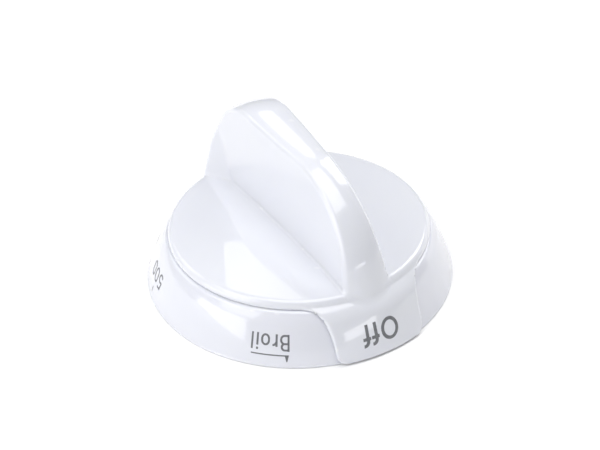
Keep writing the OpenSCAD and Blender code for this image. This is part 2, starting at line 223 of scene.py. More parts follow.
def flank(r, z, out, arc):
    """Distance from a flank that ends in a shoulder."""
    lower = np.hypot(r - FLANK_MID_R, z - FLANK_MID_Z) - FLANK_R - out
    past = (z - arc[1]) * math.cos(arc[3]) - (r - arc[0]) * math.sin(arc[3]) > 0
    return np.where(past, np.hypot(r - arc[0], z - arc[1]) - arc[2], lower)


def disc_face(r):
    return DISC_EDGE_Z + DISC_CROWN * (1 - (r / FACE_R) ** 2)


class Rim:
    """The grip's outline from the side: three straight edges and two arcs."""

    def __init__(self):
        near = np.array([math.sin(NEAR_LEAN), math.cos(NEAR_LEAN)])
        top = np.array([math.cos(TOP_RISE), math.sin(TOP_RISE)])
        far = np.array([math.sin(FAR_LEAN), -math.cos(FAR_LEAN)])
        points = (np.array([NEAR_Y, GRIP_Z]), np.array([0, GRIP_TOP]), np.array([FAR_Y, GRIP_Z]))
        self.lines = [(p, self.outward(t)) for p, t in zip(points, (near, top, far))]
        self.arcs = [self.arc(0, 1, NEAR_ROUND), self.arc(1, 2, FAR_ROUND)]

    @staticmethod
    def outward(along):
        return np.array([-along[1], along[0]])

    def arc(self, first, second, radius):
        """The arc that rounds the corner between two edges."""
        (p, n), (q, m) = self.lines[first], self.lines[second]
        centre = np.linalg.solve(np.array([n, m]), [n @ p - radius, m @ q - radius])
        return centre, radius, n, m

    def distance(self, y, z):
        lines = [(y - p[0]) * n[0] + (z - p[1]) * n[1] for p, n in self.lines]
        result = np.maximum(np.maximum(lines[0], lines[1]), lines[2])
        for centre, radius, n, m in self.arcs:
            dy, dz = y - centre[0], z - centre[1]
            between = (n[0] * dz - n[1] * dy <= 0) & (dy * m[1] - dz * m[0] <= 0)
            result = np.where(between, np.hypot(dy, dz) - radius, result)
        return result


RIM = Rim()


def grip_side(y, z):
    """Half the grip's thickness."""
    up = z - DISC_EDGE_Z
    turn = ease(DRAFT_FROM, DRAFT_TO, y)
    draft = math.tan(SIDE_DRAFT) + (math.tan(FAR_DRAFT) - math.tan(SIDE_DRAFT)) * turn
    far = FAR_FLARE_RATE * (y - FAR_FLARE_Y) - FAR_FLARE_FALL * up + up * draft
    near = NEAR_FLARE_RATE * (-y - NEAR_FLARE_Y)
    return GRIP_HALF - up * draft + soft_above_zero(far, 0.35) + soft_above_zero(near, 0.2)


def grip(x, y, z):
    side = grip_side(y, z)
    low = (1 - np.clip((z - GRIP_Z) / (GRIP_TOP - GRIP_Z), 0, 1)) ** 1.5
    crown = TOP_CROWN + low * (np.where(y < 0, NEAR_CROWN, FAR_CROWN) - TOP_CROWN)
    rim = RIM.distance(y, z) + crown * np.minimum(np.abs(x) / side, 1.2) ** 2
    over_skirt = both(PAD_GAP - flank(np.hypot(x, y), z, 0, SKIRT_ARC), GRIP_BASE - GRIP_SINK - z)
    foot = np.minimum(GRIP_BASE - z, over_skirt)
    return both(both(np.abs(x) - side, rim, GRIP_ROUND), foot)


def grip_hollow(x, y, z):
    low = (1 - np.clip((z - GRIP_Z) / (GRIP_TOP - GRIP_Z), 0, 1)) ** 1.5
    crown = TOP_CROWN + low * (np.where(y < 0, NEAR_CROWN, FAR_CROWN) - TOP_CROWN)
    half = GRIP_HALF - GRIP_WALL - np.maximum(z - DISC_EDGE_Z, 0) * math.tan(SIDE_DRAFT)
    return both(np.abs(x) - half, RIM.distance(y, z) + GRIP_WALL + crown, 0.8)


def pad(x, y, z, r):
    room = both(flank(r, z, 0, SKIRT_ARC) - PAD_GAP, z - RIM_Z + SEAM_CLOSE, 0.1)
    over = both(flank(r, z, PAD_OUT, PAD_ARC), -room)
    plan = both(either(np.abs(x) - PAD_W / 2, r - DISC_R, PAD_FILLET), y)
    return both(over, both(plan, PAD_FOOT - z, PAD_CORNER), PAD_EDGE)


def flatted_hole(x, y, z):
    """The bore for a shaft with one flat."""
    r = np.hypot(x, y)
    mouth = both(r - BORE_R, z - MOUTH_TOP)
    held = both(both(r - HOLD_R, y - FLAT_Y), z - BORE_TOP)
    relief = both(r - RELIEF_R, np.abs(z - (MOUTH_TOP + RELIEF_TOP) / 2) - (RELIEF_TOP - MOUTH_TOP) / 2)
    lead = both(r - BORE_R - np.maximum(HUB_Z + 0.4 - z, 0), z - HUB_Z - 0.5)
    return np.minimum(np.minimum(mouth, held), np.minimum(relief, lead))


def front(x, y, z):
    r = np.hypot(x, y)
    disc = both(both(z - disc_face(r), r - DISC_R, DISC_ROUND), RIM_Z - SEAM_CLOSE - z, SEAM_ROUND)
    lip = both(both(r - LIP_R, LIP_Z - z, 0.2), z - DISC_EDGE_Z + 1)
    above = ease(RIM_Z, RIM_Z + 0.8, z)
    with_pad = either(either(disc, lip, 0.15), pad(x, y, z, r), 0.02)
    stepped = either(disc, pad(x, y, z, r), PAD_STEP)
    outer = with_pad + (np.minimum(stepped, with_pad) - with_pad) * above
    outer = either(outer, grip(x, y, z), GRIP_FILLET)
    hollow = np.minimum(both(z - disc_face(r) + DISC_WALL, r - HOLLOW_R, 0.5), grip_hollow(x, y, z))
    post = both(r - HUB_R, z - BORE_TOP - GRIP_WALL)
    body = both(outer, -both(hollow, -post), 0.25)
    collar = both(np.abs(r - COLLAR_R + COLLAR_WALL / 2) - COLLAR_WALL / 2, PLATE_TOP + 0.05 - z, 0.25)
    bosses = both(np.hypot(np.abs(x) - SCREW_X, y) - BOSS_R, BOSS_Z - z, 0.25)
    turn = np.arctan2(y, x) * RIB_COUNT / (2 * math.pi)
    across = (turn - np.floor(turn) - 0.5) * 2 * math.pi / RIB_COUNT * r
    ribs = both(np.abs(across) - RIB_T / 2, RIB_Z - z, 0.2)
    ribs = np.maximum(ribs, np.maximum(COLLAR_R - 0.6 - r, r - HOLLOW_R - 0.5))
    under = np.maximum(np.minimum(np.minimum(collar, bosses), ribs), z - DISC_EDGE_Z + 0.7)
    body = either(body, under, 0.3)
    body = both(body, -both(np.hypot(np.abs(x) - SCREW_X, y) - PILOT_R, z - PILOT_TOP), 0.15)
    lower_hub = both(r - HUB_R - 1, z - DISC_EDGE_Z + 1.3)
    return both(body, -np.minimum(flatted_hole(x, y, z), lower_hub))


def hub(x, y, z):
    r = np.hypot(x, y)
    post = both(r - HUB_R, HUB_Z - z, 0.3)
    groove = both(HUB_SEAT_R - r, np.abs(z - (clip_low[2] + clip_high[2]) / 2) - 2.05)
    slots = both(np.abs(y) - HUB_SLOT_W / 2, z - HUB_SLOT_TOP, 0.5)
    cuts = np.minimum(np.minimum(groove, slots), flatted_hole(x, y, z))
    return both(both(post, -cuts, 0.12), z - DISC_EDGE_Z + 0.9)


def dial_skirt(x, y, z):
    r = np.hypot(x, y)
    outer = flank(r, z, 0, SKIRT_ARC)
    cone = both(outer, z - SKIRT_H, SEAM_ROUND)
    foot = both(both(r - SKIRT_R, z - FOOT_BAND, 0.25), SKIRT_R - 1 - r)
    solid = both(np.minimum(cone, foot), -z, 0.25)
    ring = both(solid, -np.minimum(outer + SKIRT_WALL, r - THROAT_R), 0.2)
    web = both(np.abs(z - WEB_Z + WEB_T / 2) - WEB_T / 2, WEB_HOLE_R - r, 0.2)
    angle = np.arctan2(y, np.abs(x))
    held = np.clip(angle, -SLOT_HALF, SLOT_HALF)
    slot = np.hypot(np.abs(x) - SCREW_X * np.cos(held), y - SCREW_X * np.sin(held)) - SLOT_W / 2
    web = np.maximum(both(web, -slot, 0.2), outer + SKIRT_WALL / 2)
    return either(ring, web, 0.5)


def scale_teeth(x, y, z):
    angle = np.arctan2(x, y)
    own = np.clip(np.round(angle / SCALE_STEP), -SCALE_TEETH, SCALE_TEETH) * SCALE_STEP
    r = np.hypot(x, y)
    along = np.abs(r * np.cos(angle - own) - TOOTH_IN - TOOTH_LEN / 2) - TOOTH_LEN / 2
    across = np.abs(r * np.sin(angle - own)) - TOOTH_W / 2
    under = WEB_Z - WEB_T - TOOTH_H - z
    return both(both(both(along, across, 0.15), under, 0.12), z - WEB_Z + WEB_T - 0.3)


def clamp_plate(x, y, z):
    r = np.hypot(x, y)
    taper = (3 - 0.5) / (POINTER_REACH - PLATE_R + 1)
    pointer = both((np.abs(x) - 3 + (y - PLATE_R + 1) * taper) / math.hypot(1, taper), y - POINTER_REACH, 0.3)
    pointer = both(pointer, 15 - y)
    plan = both(either(r - PLATE_R, pointer, 0.8), PLATE_HOLE_R - r)
    plan = both(plan, PILOT_R - np.hypot(np.abs(x) - SCREW_X, y))
    thick = np.abs(z - (PLATE_Z + PLATE_TOP) / 2) - (PLATE_TOP - PLATE_Z) / 2
    return both(plan, thick, 0.28)


def screw(x, y, z):
    """A pan head screw with a cross recess and a cut thread, on the axis."""
    r = np.hypot(x, y)
    seat = PLATE_Z
    head_z = screw_low[2]
    head = both(both(r - HEAD_R, z - seat, 0.12), head_z - z, 1.1)
    pitch = 1.35
    turn = np.arctan2(y, x) / (2 * math.pi) - z / pitch
    tooth = np.abs(turn - np.floor(turn) - 0.5) * 2
    depth = 0.42 * ease(seat + 0.3, seat + 1.2, z)
    point = np.maximum(z - screw_high[2] + 1.3, 0) * 0.6
    thread = r - SCREW_R + depth * np.clip(1.6 * tooth, 0, 1) + point
    shank = both(thread * 0.8, z - screw_high[2], 0.2)
    whole = either(both(head, head_z - z), both(shank, seat - 1 - z), 0.15)
    narrow = (z - head_z) * 0.18
    a, b = np.abs(x), np.abs(y)
    cross = np.minimum(np.maximum(a - 0.55, b - 1.9 + narrow), np.maximum(b - 0.55, a - 1.9 + narrow))
    cross = np.minimum(cross, both(r - 1.05 + narrow, z - head_z - 1.3))
    return both(whole, -both(cross, z - head_z - 1.3), 0.1)


def shaft_clip(x, y, z):
    """A spring band, open at the far side, with its two ends turned outwards."""
    r = np.hypot(x, y)
    middle = clip_high[0] - 0.3
    half_open = math.radians(25)
    gap = y * math.sin(half_open) * -1 + np.abs(x) * math.cos(half_open)
    band = both(np.abs(r - middle) - 0.3, -gap)
    end = np.array([math.sin(half_open), math.cos(half_open)]) * (middle + 0.55)
    curl = np.abs(np.hypot(np.abs(x) - end[0], y - end[1]) - 0.5) - 0.28
    curl = both(curl, middle - 0.1 - r)
    height = np.abs(z - (clip_low[2] + clip_high[2]) / 2) - (clip_high[2] - clip_low[2]) / 2
    return both(either(band, curl, 0.1), height, 0.15)


def sheets():
    """For each pattern of inside corners of a cell, the sheet of the surface that each corner is at."""
    table = np.zeros((256, 8), int)
    for pattern in range(256):
        inside = [pattern >> corner & 1 for corner in range(8)]
        for side in (0, 1):
            group = {corner: corner for corner in range(8) if inside[corner] == side}
            for _ in range(4):
                for corner in group:
                    near = [corner ^ bit for bit in (1, 2, 4) if corner ^ bit in group]
                    group[corner] = min([group[corner]] + [group[other] for other in near])
            names = sorted(set(group.values()))
            if len(names) > 1:
                for corner in group:
                    table[pattern, corner] = names.index(group[corner])
                break
    return table


SHEETS = sheets()


def cut(array, axis, start, stop):
    return array[tuple(slice(start, stop) if a == axis else slice(None) for a in range(3))]


def surface_net(solid, low, high, step):
    """Points and four-cornered faces over a solid's surface inside a box, thin walls included."""
    axes = [np.arange(a, b + s, s) for a, b, s in zip(low, high, step)]
    value = solid(*np.meshgrid(*axes, indexing="ij"))
    size = np.array(value.shape)
    pattern = np.zeros(size - 1, int)
    for corner in range(8):
        part = value < 0
        for axis in range(3):
            far = corner >> (2 - axis) & 1
            part = cut(part, axis, far, None if far else -1)
        pattern |= part.astype(int) << corner
    keys, spots = [], []
    for axis in range(3):
        start, end = cut(value, axis, 0, -1), cut(value, axis, 1, None)
        base = np.argwhere((start < 0) != (end < 0))
        others = [a for a in range(3) if a != axis]
        base = base[np.all((base[:, others] > 0) & (base[:, others] < size[others] - 1), axis=1)]
        first = start[tuple(base.T)]
        last = end[tuple(base.T)]
        spot = base.astype(float)
        spot[:, axis] += first / (first - last)
        ring = []
        for near in ((1, 1), (0, 1), (0, 0), (1, 0)):
            cell = base.copy()
            cell[:, others] -= near
            corner = (near[0] << (2 - others[0])) + (near[1] << (2 - others[1]))
            rows = SHEETS[pattern[tuple(cell.T)]]
            sheet = np.maximum(rows[:, corner], rows[:, corner + (1 << (2 - axis))])
            ring.append(np.ravel_multi_index(tuple(cell.T), tuple(size - 1)) * 8 + sheet)
        ring = np.stack(ring, axis=1)
        flip = (first < 0) == (axis == 1)
        ring[flip] = ring[flip][:, ::-1]
        keys.append(ring)
        spots.append(np.repeat(spot[:, None], 4, axis=1))
    keys, spots = np.concatenate(keys), np.concatenate(spots)
    names, index = np.unique(keys, return_inverse=True)
    index = index.reshape(-1)
    count = np.bincount(index)
    points = np.stack([np.bincount(index, spots[..., a].ravel()) / count for a in range(3)], axis=1)
    return points * np.array(step) + np.array(low), index.reshape(-1, 4)


def slope(solid, points):
    """How fast the solid's distance grows along each axis."""
    small = 0.002
    columns = []
    for axis in range(3):
        move = np.zeros(3)
        move[axis] = small
        columns.append((solid(*(points + move).T) - solid(*(points - move).T)) / (2 * small))
    return np.stack(columns, axis=1)


def settle(solid, points, reach, turns=5):
    """Moves the points onto the surface."""
    for _ in range(turns):
        grow = slope(solid, points)
        length = np.maximum((grow**2).sum(axis=1), 0.04)
        move = -solid(*points.T)[:, None] * grow / length[:, None]
        size = np.linalg.norm(move, axis=1, keepdims=True)
        points = points + move * np.minimum(1, reach / np.maximum(size, 1e-9))
    return points


def normals_of(solid, points):
    grow = slope(solid, points)
    return grow / np.maximum(np.linalg.norm(grow, axis=1, keepdims=True), 1e-9)


def refine(solid, points, normals, faces, bend, shortest):
    """Halves each edge whose ends face more than bend apart."""
    edges = np.sort(np.stack([faces, np.roll(faces, -1, axis=1)], axis=2).reshape(-1, 2), axis=1)
    pairs, of_side = np.unique(edges, axis=0, return_inverse=True)
    of_side = of_side.reshape(-1)
    a, b = pairs.T
    turned = (normals[a] * normals[b]).sum(axis=1) < math.cos(bend)
    long = np.linalg.norm(points[a] - points[b], axis=1) > shortest
    chosen = turned & long
    middle = np.full(len(pairs), -1)
    middle[chosen] = len(points) + np.arange(chosen.sum())
    added = (points[a[chosen]] + points[b[chosen]]) / 2
    added = settle(solid, added, shortest * 2, 3)
    points = np.concatenate([points, added])
    normals = np.concatenate([normals, normals_of(solid, added)])
    mid = middle[of_side].reshape(-1, 3)
    split = (mid >= 0).sum(axis=1)
    whole = faces[split == 0]
    made = [whole]
    one, halves = faces[split == 1], mid[split == 1]
    turn = (np.argmax(halves >= 0, axis=1)[:, None] + np.arange(3)) % 3
    one, halves = np.take_along_axis(one, turn, 1), np.take_along_axis(halves, turn, 1)
    made += [np.stack([one[:, 0], halves[:, 0], one[:, 2]], 1), np.stack([halves[:, 0], one[:, 1], one[:, 2]], 1)]
    two, halves = faces[split == 2], mid[split == 2]
    turn = (np.argmax(halves < 0, axis=1)[:, None] + np.arange(3)) % 3
    two, halves = np.take_along_axis(two, turn, 1), np.take_along_axis(halves, turn, 1)
    made.append(np.stack([two[:, 0], two[:, 1], halves[:, 1]], 1))
    made.append(np.stack([two[:, 0], halves[:, 1], halves[:, 2]], 1))
    made.append(np.stack([halves[:, 2], halves[:, 1], two[:, 2]], 1))
    three, halves = faces[split == 3], mid[split == 3]
    for i in range(3):
        made.append(np.stack([three[:, i], halves[:, i], halves[:, i - 1]], 1))
    made.append(halves)
    return points, normals, np.concatenate(made)


def evened(points, faces):
    """The points moved halfway to the middle of their neighbours."""
    start, end = faces.ravel(), np.roll(faces, -1, axis=1).ravel()
    start, end = np.concatenate([start, end]), np.concatenate([end, start])
    count = np.bincount(start, minlength=len(points))[:, None]
    total = np.stack([np.bincount(start, points[end, a], len(points)) for a in range(3)], axis=1)
    return (points + total / count) / 2


def skin(solid, low, high, step, passes=2, bend=math.radians(14)):
    """A solid's surface as points, normals and triangles."""
    points, quads = surface_net(solid, low, high, (step,) * 3)
    for _ in range(2):
        points = settle(solid, evened(points, quads), step / 2, 2)
    points = settle(solid, points, step / 2)
    normals = normals_of(solid, points)
    across = (normals[quads[:, 0]] * normals[quads[:, 2]]).sum(axis=1)
    other = (normals[quads[:, 1]] * normals[quads[:, 3]]).sum(axis=1)
    quads = np.where((other > across)[:, None], np.roll(quads, -1, axis=1), quads)
    faces = np.concatenate([quads[:, [0, 1, 2]], quads[:, [0, 2, 3]]])
    for i in range(passes):
        points, normals, faces = refine(solid, points, normals, faces, bend, step / 3 / 2**i)
    return points, normals, faces


def mesh_object(name, skins, at=(0, 0, 0)):
    """One object from skins in millimetres."""
    points, normals, faces, start = [], [], [], 0
    for p, n, f in skins:
        points.append((p + np.array(at)) * MM)
        normals.append(n)
        faces.append(f + start)
        start += len(p)
    points, normals, faces = np.concatenate(points), np.concatenate(normals), np.concatenate(faces)
    mesh = bpy.data.meshes.new(name)
    mesh.from_pydata(points.tolist(), [], faces.tolist())
    mesh.polygons.foreach_set("use_smooth", np.ones(len(mesh.polygons), bool))
    mesh.update()
    mesh.normals_split_custom_set_from_vertices(normals.tolist())
    obj = bpy.data.objects.new(name, mesh)
    bpy.context.scene.collection.objects.link(obj)
    return obj


def place(obj, body, material, node=None):
    obj.data.materials.append(material)
    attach(obj, body)
    if node:
        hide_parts(node)
    return obj


class Shader:
    """A material whose nodes are added one by one."""

    def __init__(self, name):
        self.material = bpy.data.materials.new(name)
        self.material.use_nodes = True
        self.tree = self.material.node_tree
        self.base = self.tree.nodes["Principled BSDF"]
        self.place = self.add("ShaderNodeTexCoord").outputs["Object"]

    def add(self, kind, **values):
        node = self.tree.nodes.new(kind)
        for key, value in values.items():
            setattr(node, key, value)
        return node

    def link(self, start, end):
        self.tree.links.new(start, end)

    def noise(self, size, detail=3.0, stretch=(1, 1, 1)):
        """Noise whose grains are that many metres across."""
        mapping = self.add("ShaderNodeMapping")
        mapping.inputs["Scale"].default_value = [s / size for s in stretch]
        self.link(self.place, mapping.inputs["Vector"])
        node = self.add("ShaderNodeTexNoise")
        node.inputs["Scale"].default_value = 1.0
        node.inputs["Detail"].default_value = detail
        self.link(mapping.outputs["Vector"], node.inputs["Vector"])
        return node.outputs["Fac"]

    def ramp(self, factor, *stops):
        """A colour ramp with (place, colour) stops."""
        node = self.add("ShaderNodeValToRGB")
        ends = node.color_ramp.elements
        for index, (at, colour) in enumerate(stops):
            stop = ends[index] if index < 2 else ends.new(at)
            stop.position = at
            stop.color = (*colour, 1)
        self.link(factor, node.inputs["Fac"])
        return node.outputs["Color"]

    def scale(self, factor, low, high, start=0.3, end=0.7):
        node = self.add("ShaderNodeMapRange")
        for key, value in zip(("From Min", "From Max", "To Min", "To Max"), (start, end, low, high)):
            node.inputs[key].default_value = value
        self.link(factor, node.inputs["Value"])
        return node.outputs["Result"]

    def mix(self, factor, first, second):
        node = self.add("ShaderNodeMix", data_type="RGBA")
        self.link(factor, node.inputs["Factor"])
        self.link(first, node.inputs["A"])
        node.inputs["B"].default_value = (*second, 1)
        return node.outputs["Result"]

    def bump(self, *layers):
        """Bumps from (height, depth in metres) layers."""
        last = None
        for height, depth in layers:
            node = self.add("ShaderNodeBump")
            node.inputs["Strength"].default_value = 1.0
            node.inputs["Distance"].default_value = depth
            self.link(height, node.inputs["Height"])
            if last:
                self.link(last, node.inputs["Normal"])
            last = node.outputs["Normal"]
        self.link(last, self.base.inputs["Normal"])

    def edges(self, low, high):
        """Nearly 1 on outer edges and 0 elsewhere."""
        point = self.add("ShaderNodeNewGeometry").outputs["Pointiness"]
        return self.scale(point, 0, 1, low, high)


def moulded_plastic(name, pale, deep, sheen_colour):
    """Glossy moulded plastic with a faint flow pattern, fine scuffs and a painted sheen: its colour is lighter on
    sharp outer edges.
    """
    shader = Shader(name)
    flow = shader.ramp(shader.noise(0.03, 2.0, (1, 1, 2)), (0.35, deep), (0.65, pale))
    # Painted sheen: the base colour turns lighter on sharp outer edges.
    sheen_edge = shader.edges(0.52, 0.6)
    shader.link(shader.mix(sheen_edge, flow, sheen_colour), shader.base.inputs["Base Color"])
    rough = shader.scale(shader.noise(0.012, 4.0), 0.16, 0.24)
    shader.link(rough, shader.base.inputs["Roughness"])
    shader.bump((shader.noise(0.009, 1.0), 3e-6), (shader.noise(0.0006, 3.0), 2.5e-7))
    shader.base.inputs["IOR"].default_value = 1.5
    shader.base.inputs["Specular IOR Level"].default_value = 0.3
    shader.base.inputs["Coat Weight"].default_value = 0.75
    shader.base.inputs["Coat Roughness"].default_value = 0.03
    shader.base.inputs["Subsurface Weight"].default_value = 0.15
    shader.base.inputs["Subsurface Radius"].default_value = (0.0012, 0.0012, 0.0015)
    return shader.material


def plated_steel(name, pale, deep, roughness, grain):
    """Rolled or drawn steel with a thin plating, its grain along Y."""
    shader = Shader(name)
    streaks = shader.noise(grain, 3.0, (1, 0.08, 1))
    cloud = shader.noise(0.006, 3.0)
    dull = shader.scale(cloud, 0, 0.6, 0.45, 0.7)
    colour = shader.mix(dull, shader.ramp(streaks, (0.3, deep), (0.7, pale)), deep)
    shader.link(colour, shader.base.inputs["Base Color"])
    shader.link(shader.scale(streaks, roughness - 0.08, roughness + 0.08), shader.base.inputs["Roughness"])
    shader.bump((streaks, 4e-6), (cloud, 4e-6))
    shader.base.inputs["Metallic"].default_value = 1.0
    return shader.material


def printed_ink(name, dark, thin):
    """Pad-printed ink, a little thinner in places."""
    shader = Shader(name)
    shader.link(shader.ramp(shader.noise(0.0007, 3.0), (0.4, dark), (0.75, thin)), shader.base.inputs["Base Color"])
    shader.link(shader.scale(shader.noise(0.0012, 2.0), 0.3, 0.45), shader.base.inputs["Roughness"])
    shader.bump((shader.noise(0.0003, 2.0), 1e-6))
    return shader.material


def arc_points(cx, cy, rx, ry, start, end, count=14):
    """Points on an arc, its angles in degrees."""
    angles = np.radians(np.linspace(start, end, count))
    return np.stack([cx + rx * np.cos(angles), cy + ry * np.sin(angles)], axis=1)


def path(*parts):
    return np.concatenate([np.atleast_2d(p) for p in parts])


def line(*points):
    return np.array(points, float)


# Letters and numbers as (width, strokes), with capitals one high
X_H = 0.74
GLYPHS = {
    "O": (0.92, [arc_points(0.44, 0.5, 0.35, 0.425, 0, 360, 32)]),
    "f": (0.34, [path((0.14, 0), arc_points(0.32, 0.74, 0.18, 0.185, 180, 80, 8)), line((0, 0.64), (0.36, 0.64))]),
    "B": (
        0.58,
        [
            line((0.1, 0), (0.1, 1)),
            path((0.1, 0.925), (0.3, 0.925), arc_points(0.3, 0.735, 0.15, 0.19, 90, -90), (0.1, 0.545)),
            path((0.1, 0.545), (0.32, 0.545), arc_points(0.32, 0.31, 0.17, 0.235, 90, -90), (0.1, 0.075)),
        ],
    ),
    "r": (0.36, [line((0.09, 0), (0.09, X_H)), path(arc_points(0.3, 0.4, 0.21, 0.25, 175, 88, 8))]),
    "o": (0.52, [path(arc_points(0.26, 0.4, 0.185, 0.25, 0, 180), arc_points(0.26, 0.32, 0.185, 0.25, 180, 360), (0.445, 0.4))]),
    "i": (0.22, [line((0.11, 0), (0.11, X_H)), line((0.11, 0.86), (0.11, 1))]),
    "l": (0.22, [line((0.11, 0), (0.11, 1))]),
    "W": (0.94, [line((0.06, 1), (0.26, 0), (0.47, 1), (0.68, 0), (0.88, 1))]),
    "a": (
        0.5,
        [
            path(arc_points(0.25, 0.5, 0.15, 0.15, 170, 0, 8), (0.4, 0.0)),
            path((0.4, 0.42), arc_points(0.23, 0.22, 0.155, 0.155, 100, 300)),
        ],
    ),
    "m": (
        0.78,
        [
            line((0.09, 0), (0.09, X_H)),
            path(arc_points(0.235, 0.45, 0.145, 0.2, 180, 0), (0.38, 0)),
            path(arc_points(0.525, 0.45, 0.145, 0.2, 180, 0), (0.67, 0)),
        ],
    ),
    "0": (0.52, [path(arc_points(0.26, 0.66, 0.18, 0.265, 0, 180), arc_points(0.26, 0.34, 0.18, 0.265, 180, 360), (0.44, 0.66))]),
    "2": (0.52, [path(arc_points(0.26, 0.73, 0.175, 0.195, 165, -25), (0.075, 0.075), (0.47, 0.075))]),
    "3": (
        0.52,
        [
            path(arc_points(0.25, 0.735, 0.16, 0.19, 160, -80), (0.2, 0.54)),
            path((0.2, 0.54), arc_points(0.25, 0.305, 0.185, 0.23, 80, -165)),
        ],
    ),
    "4": (0.52, [line((0.36, 0), (0.36, 1)), line((0.36, 0.94), (0.05, 0.27), (0.5, 0.27))]),
    "5": (0.52, [path((0.44, 0.925), (0.13, 0.925), (0.09, 0.5), arc_points(0.25, 0.31, 0.185, 0.235, 125, -160))]),
}
SPACE = 0.06


def stroke(points, half):
    """Distance from a stroke of that half width, its ends cut square."""

    def distance(u, v):
        near = np.full(u.shape, 9.0)
        for a, b in zip(points[:-1], points[1:]):
            along = b - a
            length = max(along @ along, 1e-9)
            t = np.clip(((u - a[0]) * along[0] + (v - a[1]) * along[1]) / length, 0, 1)
            near = np.minimum(near, np.hypot(u - a[0] - t * along[0], v - a[1] - t * along[1]))
        result = near - half
        for end, before in ((points[0], points[1]), (points[-1], points[-2])):
            out = (end - before) / np.linalg.norm(end - before)
            if np.linalg.norm(points[0] - points[-1]) < 1e-6:
                continue
            du, dv = u - end[0], v - end[1]
            close = np.hypot(du, dv) < 1.6 * half
            result = np.where(close, np.maximum(result, du * out[0] + dv * out[1]), result)
        return result

    return distance


class Label:
    """Words in millimetres, their middle at u = 0 and their foot at v = 0."""

    def __init__(self, text, height, weight, stretch=1.0, tick=None):
        self.strokes = []
        pen = 0
        for letter in text:
            width, lines = GLYPHS[letter]
            for points in lines:
                moved = (points + np.array([pen, 0])) * np.array([height * stretch, height])
                self.strokes.append(moved)
            pen += width + SPACE
        self.width = (pen - SPACE) * height * stretch
        self.height = height
        self.half = weight / 2
        self.tick = tick
        self.marks = [stroke(s - np.array([self.width / 2, 0]), self.half) for s in self.strokes]

    def inside(self, u, v):
        result = np.minimum.reduce([mark(u, v) for mark in self.marks])
        if self.tick:
            result = np.minimum(result, self.tick(self, u, v))
        return result


INK_HALF = 0.022


def ink(name, label, angle, foot_z, out, body, material):
    """Prints a label on the flank, its top towards the foot, its middle at that angle."""
    step = 0.07
    reach = label.width / 2 + 0.6
    top = label.height + (3 if label.tick else 0.5)

    def solid(u, v, w):
        return both(label.inside(u, v), np.abs(w) - INK_HALF)

    low, high = (-reach, -0.5, -2 * INK_HALF), (reach, top, 2 * INK_HALF)
    points, quads = surface_net(solid, low, high, (step, step, INK_HALF * 0.9))
    u, v, w = settle(solid, points, 0.02, 3).T
    z = foot_z - v * math.cos(CHORD_A)
    lean = flank_lean(out, z)
    r = flank_r(out, z) + w * np.cos(lean)
    turn = math.radians(angle - 90) - u / flank_r(out, foot_z - label.height / 2)
    points = np.stack([r * np.cos(turn), r * np.sin(turn), z + w * np.sin(lean)], axis=1)
    faces = np.concatenate([quads[:, [0, 2, 1]], quads[:, [0, 3, 2]]])
    mesh = bpy.data.meshes.new(name)
    mesh.from_pydata((points * MM).tolist(), [], faces.tolist())
    obj = bpy.data.objects.new(name, mesh)
    bpy.context.scene.collection.objects.link(obj)
    obj.data.materials.append(material)
    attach(obj, body)
    return obj


def wedge_tick(label, u, v):
    """A small wedge outside the middle of the label, its point outwards."""
    up = v - label.height - 1.3
    return np.maximum(np.abs(u) - 0.3 + 0.16 * up, np.abs(up - 0.7) - 0.7)


def broil_tick(label, u, v):
    """A bar over the label that ends in a wedge over the first letter."""
    start, end = -label.width / 2 + 0.35, label.width / 2 - 0.3
    up = v - label.height - 0.95
    bar = np.maximum(np.maximum(start - u, u - end), np.abs(up) - 0.15)
    wedge = np.maximum(np.abs(u - start - 0.42) - 0.42 + 0.22 * up, np.abs(up - 0.65) - 0.8)
    return np.minimum(bar, wedge)


NUMBER_STEP = 27
FIRST_NUMBER = 254
NUMBERS = ("500", "450", "400", "350", "300", "250", "200")


